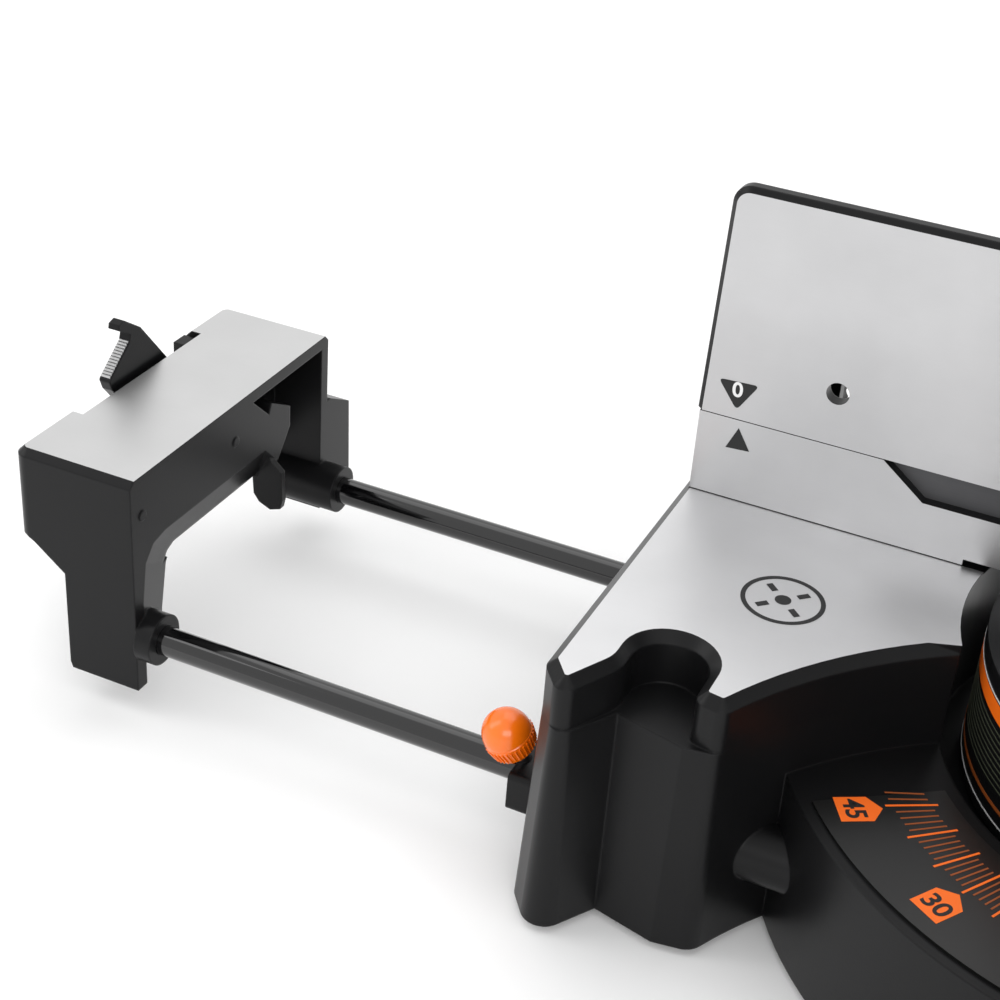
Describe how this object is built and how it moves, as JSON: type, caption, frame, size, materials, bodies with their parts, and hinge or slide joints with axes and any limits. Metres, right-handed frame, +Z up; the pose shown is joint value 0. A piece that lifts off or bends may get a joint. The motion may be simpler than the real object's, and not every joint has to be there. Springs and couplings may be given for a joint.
{
  "type": "compound mitre saw",
  "caption": "Bench compound mitre saw with sliding extension wings, flip stops, sliding fences, a rotating table and a tilting, chopping head with guarded blade.",
  "frame": {"origin": "on the bench plane, straight under the mitre axis of the turntable", "axes": "+X along the fence to the right of the operator, +Y to the back, +Z up"},
  "size_m": [0.9754, 0.4947, 0.5485],
  "materials": {
    "black_casting": "satin black powder coat over cast aluminium, with bare machined tops",
    "machined_aluminium": "fine milled",
    "black_tube": "gloss black",
    "orange_plastic": "glossy, ribbed skirt",
    "zinc_steel": "zinc plated",
    "black_plastic": "fine moulded texture",
    "grip_rubber": "soft matt",
    "printed_plate": "satin black with orange print",
    "blade_steel": "ground steel",
    "guard_plastic": "smoked",
    "red_plastic": "moulded"
  },
  "bodies": {
    "base": {"base_casting": "black_casting", "rubber_feet": "grip_rubber", "mitre_scale_plate": "printed_plate", "lower_fence": "machined_aluminium", "fence_bolts": "zinc_steel", "mitre_pivot_bolt": "zinc_steel", "rod_clamp_block_left": "black_casting", "rod_clamp_block_right": "black_casting"},
    "turntable": {"turntable": "black_casting", "kerf_plates": "red_plastic", "kerf_screws": "zinc_steel", "mitre_pointer": "orange_plastic", "detent_bracket": "zinc_steel"},
    "mitre_lock": {"mitre_lock_handle": "black_plastic"},
    "detent": {"detent_lever": "black_plastic"},
    "tilt_frame": {"tilt_bracket": "black_casting", "tilt_pivot_bolt": "zinc_steel", "head_pivot_pin": "zinc_steel", "return_spring_cup": "black_plastic"},
    "tilt_lock": {"tilt_lock_lever": "black_plastic"},
    "head": {"head_arm": "black_casting", "gear_case": "black_casting", "motor_housing": "orange_plastic", "motor_end_cap": "black_plastic", "brush_caps": "black_plastic", "main_handle": "grip_rubber", "trigger_pin": "zinc_steel", "carry_handle": "black_plastic", "dust_port": "black_plastic", "cord_gland": "grip_rubber", "end_cap_screws": "zinc_steel"},
    "head_lock": {"head_lock_pin": "zinc_steel"},
    "blade": {"saw_blade": "blade_steel", "arbor_shaft": "zinc_steel", "outer_flange": "zinc_steel", "inner_flange": "zinc_steel", "arbor_bolt": "zinc_steel"},
    "lower_guard": {"lower_guard": "guard_plastic"},
    "trigger": {"trigger": "orange_plastic"},
    "lock_off": {"lock_off_button": "orange_plastic"},
    "wing_left": {"wing_casting_left": "black_casting", "wing_rods_left": "black_tube", "flip_stop_pin_left": "zinc_steel"},
    "flip_stop_left": {"flip_stop_left": "black_casting"},
    "upper_fence_left": {"upper_fence_left": "machined_aluminium"},
    "fence_knob_left": {"fence_lock_knob_left": "black_plastic"},
    "wing_lock_left": {"wing_lock_stud_left": "zinc_steel", "wing_lock_knob_left": "orange_plastic"},
    "wing_right": {"wing_casting_right": "black_casting", "wing_rods_right": "black_tube", "flip_stop_pin_right": "zinc_steel"},
    "flip_stop_right": {"flip_stop_right": "black_casting"},
    "upper_fence_right": {"upper_fence_right": "machined_aluminium"},
    "fence_knob_right": {"fence_lock_knob_right": "black_plastic"},
    "wing_lock_right": {"wing_lock_stud_right": "zinc_steel", "wing_lock_knob_right": "orange_plastic"}
  },
  "joints": [
    {"name": "mitre", "type": "hinge", "parent": "base", "child": "turntable", "pos_m": [0, 0, 0.118], "axis": [0, 0, 1], "range_deg": [-47, 47]},
    {"name": "mitre_lock_turn", "type": "hinge", "parent": "turntable", "child": "mitre_lock", "pos_m": [0, -0.226, 0.097], "axis": [0, -1, 0], "range_deg": [-90, 90]},
    {"name": "detent_press", "type": "hinge", "parent": "turntable", "child": "detent", "pos_m": [0, -0.22, 0.072], "axis": [1, 0, 0], "range_deg": [-8, 0], "stiffness_Nm_per_rad": 2},
    {"name": "tilt", "type": "hinge", "parent": "turntable", "child": "tilt_frame", "pos_m": [0, 0.134, 0.118], "axis": [0, 1, 0], "range_deg": [-45, 0]},
    {"name": "tilt_lock_turn", "type": "hinge", "parent": "tilt_frame", "child": "tilt_lock", "pos_m": [0, 0.184, 0.193], "axis": [0, -1, 0], "range_deg": [-60, 60]},
    {"name": "chop", "type": "hinge", "parent": "tilt_frame", "child": "head", "pos_m": [0, 0.165, 0.238], "axis": [1, 0, 0], "range_deg": [0, 40]},
    {"name": "head_lock_pull", "type": "slide", "parent": "tilt_frame", "child": "head_lock", "axis": [-1, 0, 0], "range_m": [0, 0.008]},
    {"name": "blade_spin", "type": "hinge", "parent": "head", "child": "blade", "pos_m": [0, 0.03284, 0.34498], "axis": [1, 0, 0], "continuous": true},
    {"name": "guard_roll", "type": "hinge", "parent": "head", "child": "lower_guard", "pos_m": [0, 0.03284, 0.34498], "axis": [1, 0, 0], "range_deg": [0, 115]},
    {"name": "trigger_pull", "type": "hinge", "parent": "head", "child": "trigger", "pos_m": [0, -0.01803, 0.52082], "axis": [1, 0, 0], "range_deg": [-9, 0], "stiffness_Nm_per_rad": 0.5},
    {"name": "lock_off_press", "type": "slide", "parent": "head", "child": "lock_off", "axis": [1, 0, 0], "range_m": [0, 0.003], "stiffness_N_per_m": 300},
    {"name": "wing_left_slide", "type": "slide", "parent": "base", "child": "wing_left", "axis": [1, 0, 0], "range_m": [0, 0.156]},
    {"name": "flip_stop_left_turn", "type": "hinge", "parent": "wing_left", "child": "flip_stop_left", "pos_m": [-0.482, -0.009, 0.104], "axis": [1, 0, 0], "range_deg": [-30, 35]},
    {"name": "upper_fence_left_slide", "type": "slide", "parent": "base", "child": "upper_fence_left", "axis": [-1, 0, 0], "range_m": [0, 0.07854]},
    {"name": "fence_knob_left_turn", "type": "hinge", "parent": "base", "child": "fence_knob_left", "pos_m": [-0.19, 0.055, 0.157], "axis": [0, 1, 0], "range_deg": [-180, 180]},
    {"name": "wing_lock_left_turn", "type": "hinge", "parent": "base", "child": "wing_lock_left", "pos_m": [-0.243, -0.092, 0.038], "axis": [-0.3734, -0.2944, 0.8797], "range_deg": [-90, 90]},
    {"name": "wing_right_slide", "type": "slide", "parent": "base", "child": "wing_right", "axis": [-1, 0, 0], "range_m": [0, 0.156]},
    {"name": "flip_stop_right_turn", "type": "hinge", "parent": "wing_right", "child": "flip_stop_right", "pos_m": [0.482, -0.009, 0.104], "axis": [1, 0, 0], "range_deg": [-30, 35]},
    {"name": "upper_fence_right_slide", "type": "slide", "parent": "base", "child": "upper_fence_right", "axis": [1, 0, 0], "range_m": [0, 0.07854]},
    {"name": "fence_knob_right_turn", "type": "hinge", "parent": "base", "child": "fence_knob_right", "pos_m": [0.19, 0.055, 0.157], "axis": [0, 1, 0], "range_deg": [-180, 180]},
    {"name": "wing_lock_right_turn", "type": "hinge", "parent": "base", "child": "wing_lock_right", "pos_m": [0.243, -0.092, 0.038], "axis": [0.3734, -0.2944, 0.8797], "range_deg": [-90, 90]}
  ],
  "couplings": [
    {"joint": "guard_roll", "follows": "chop", "ratio": 2.875},
    {"joint": "upper_fence_left_slide", "follows": "tilt", "m_per_rad": -0.1}
  ]
}
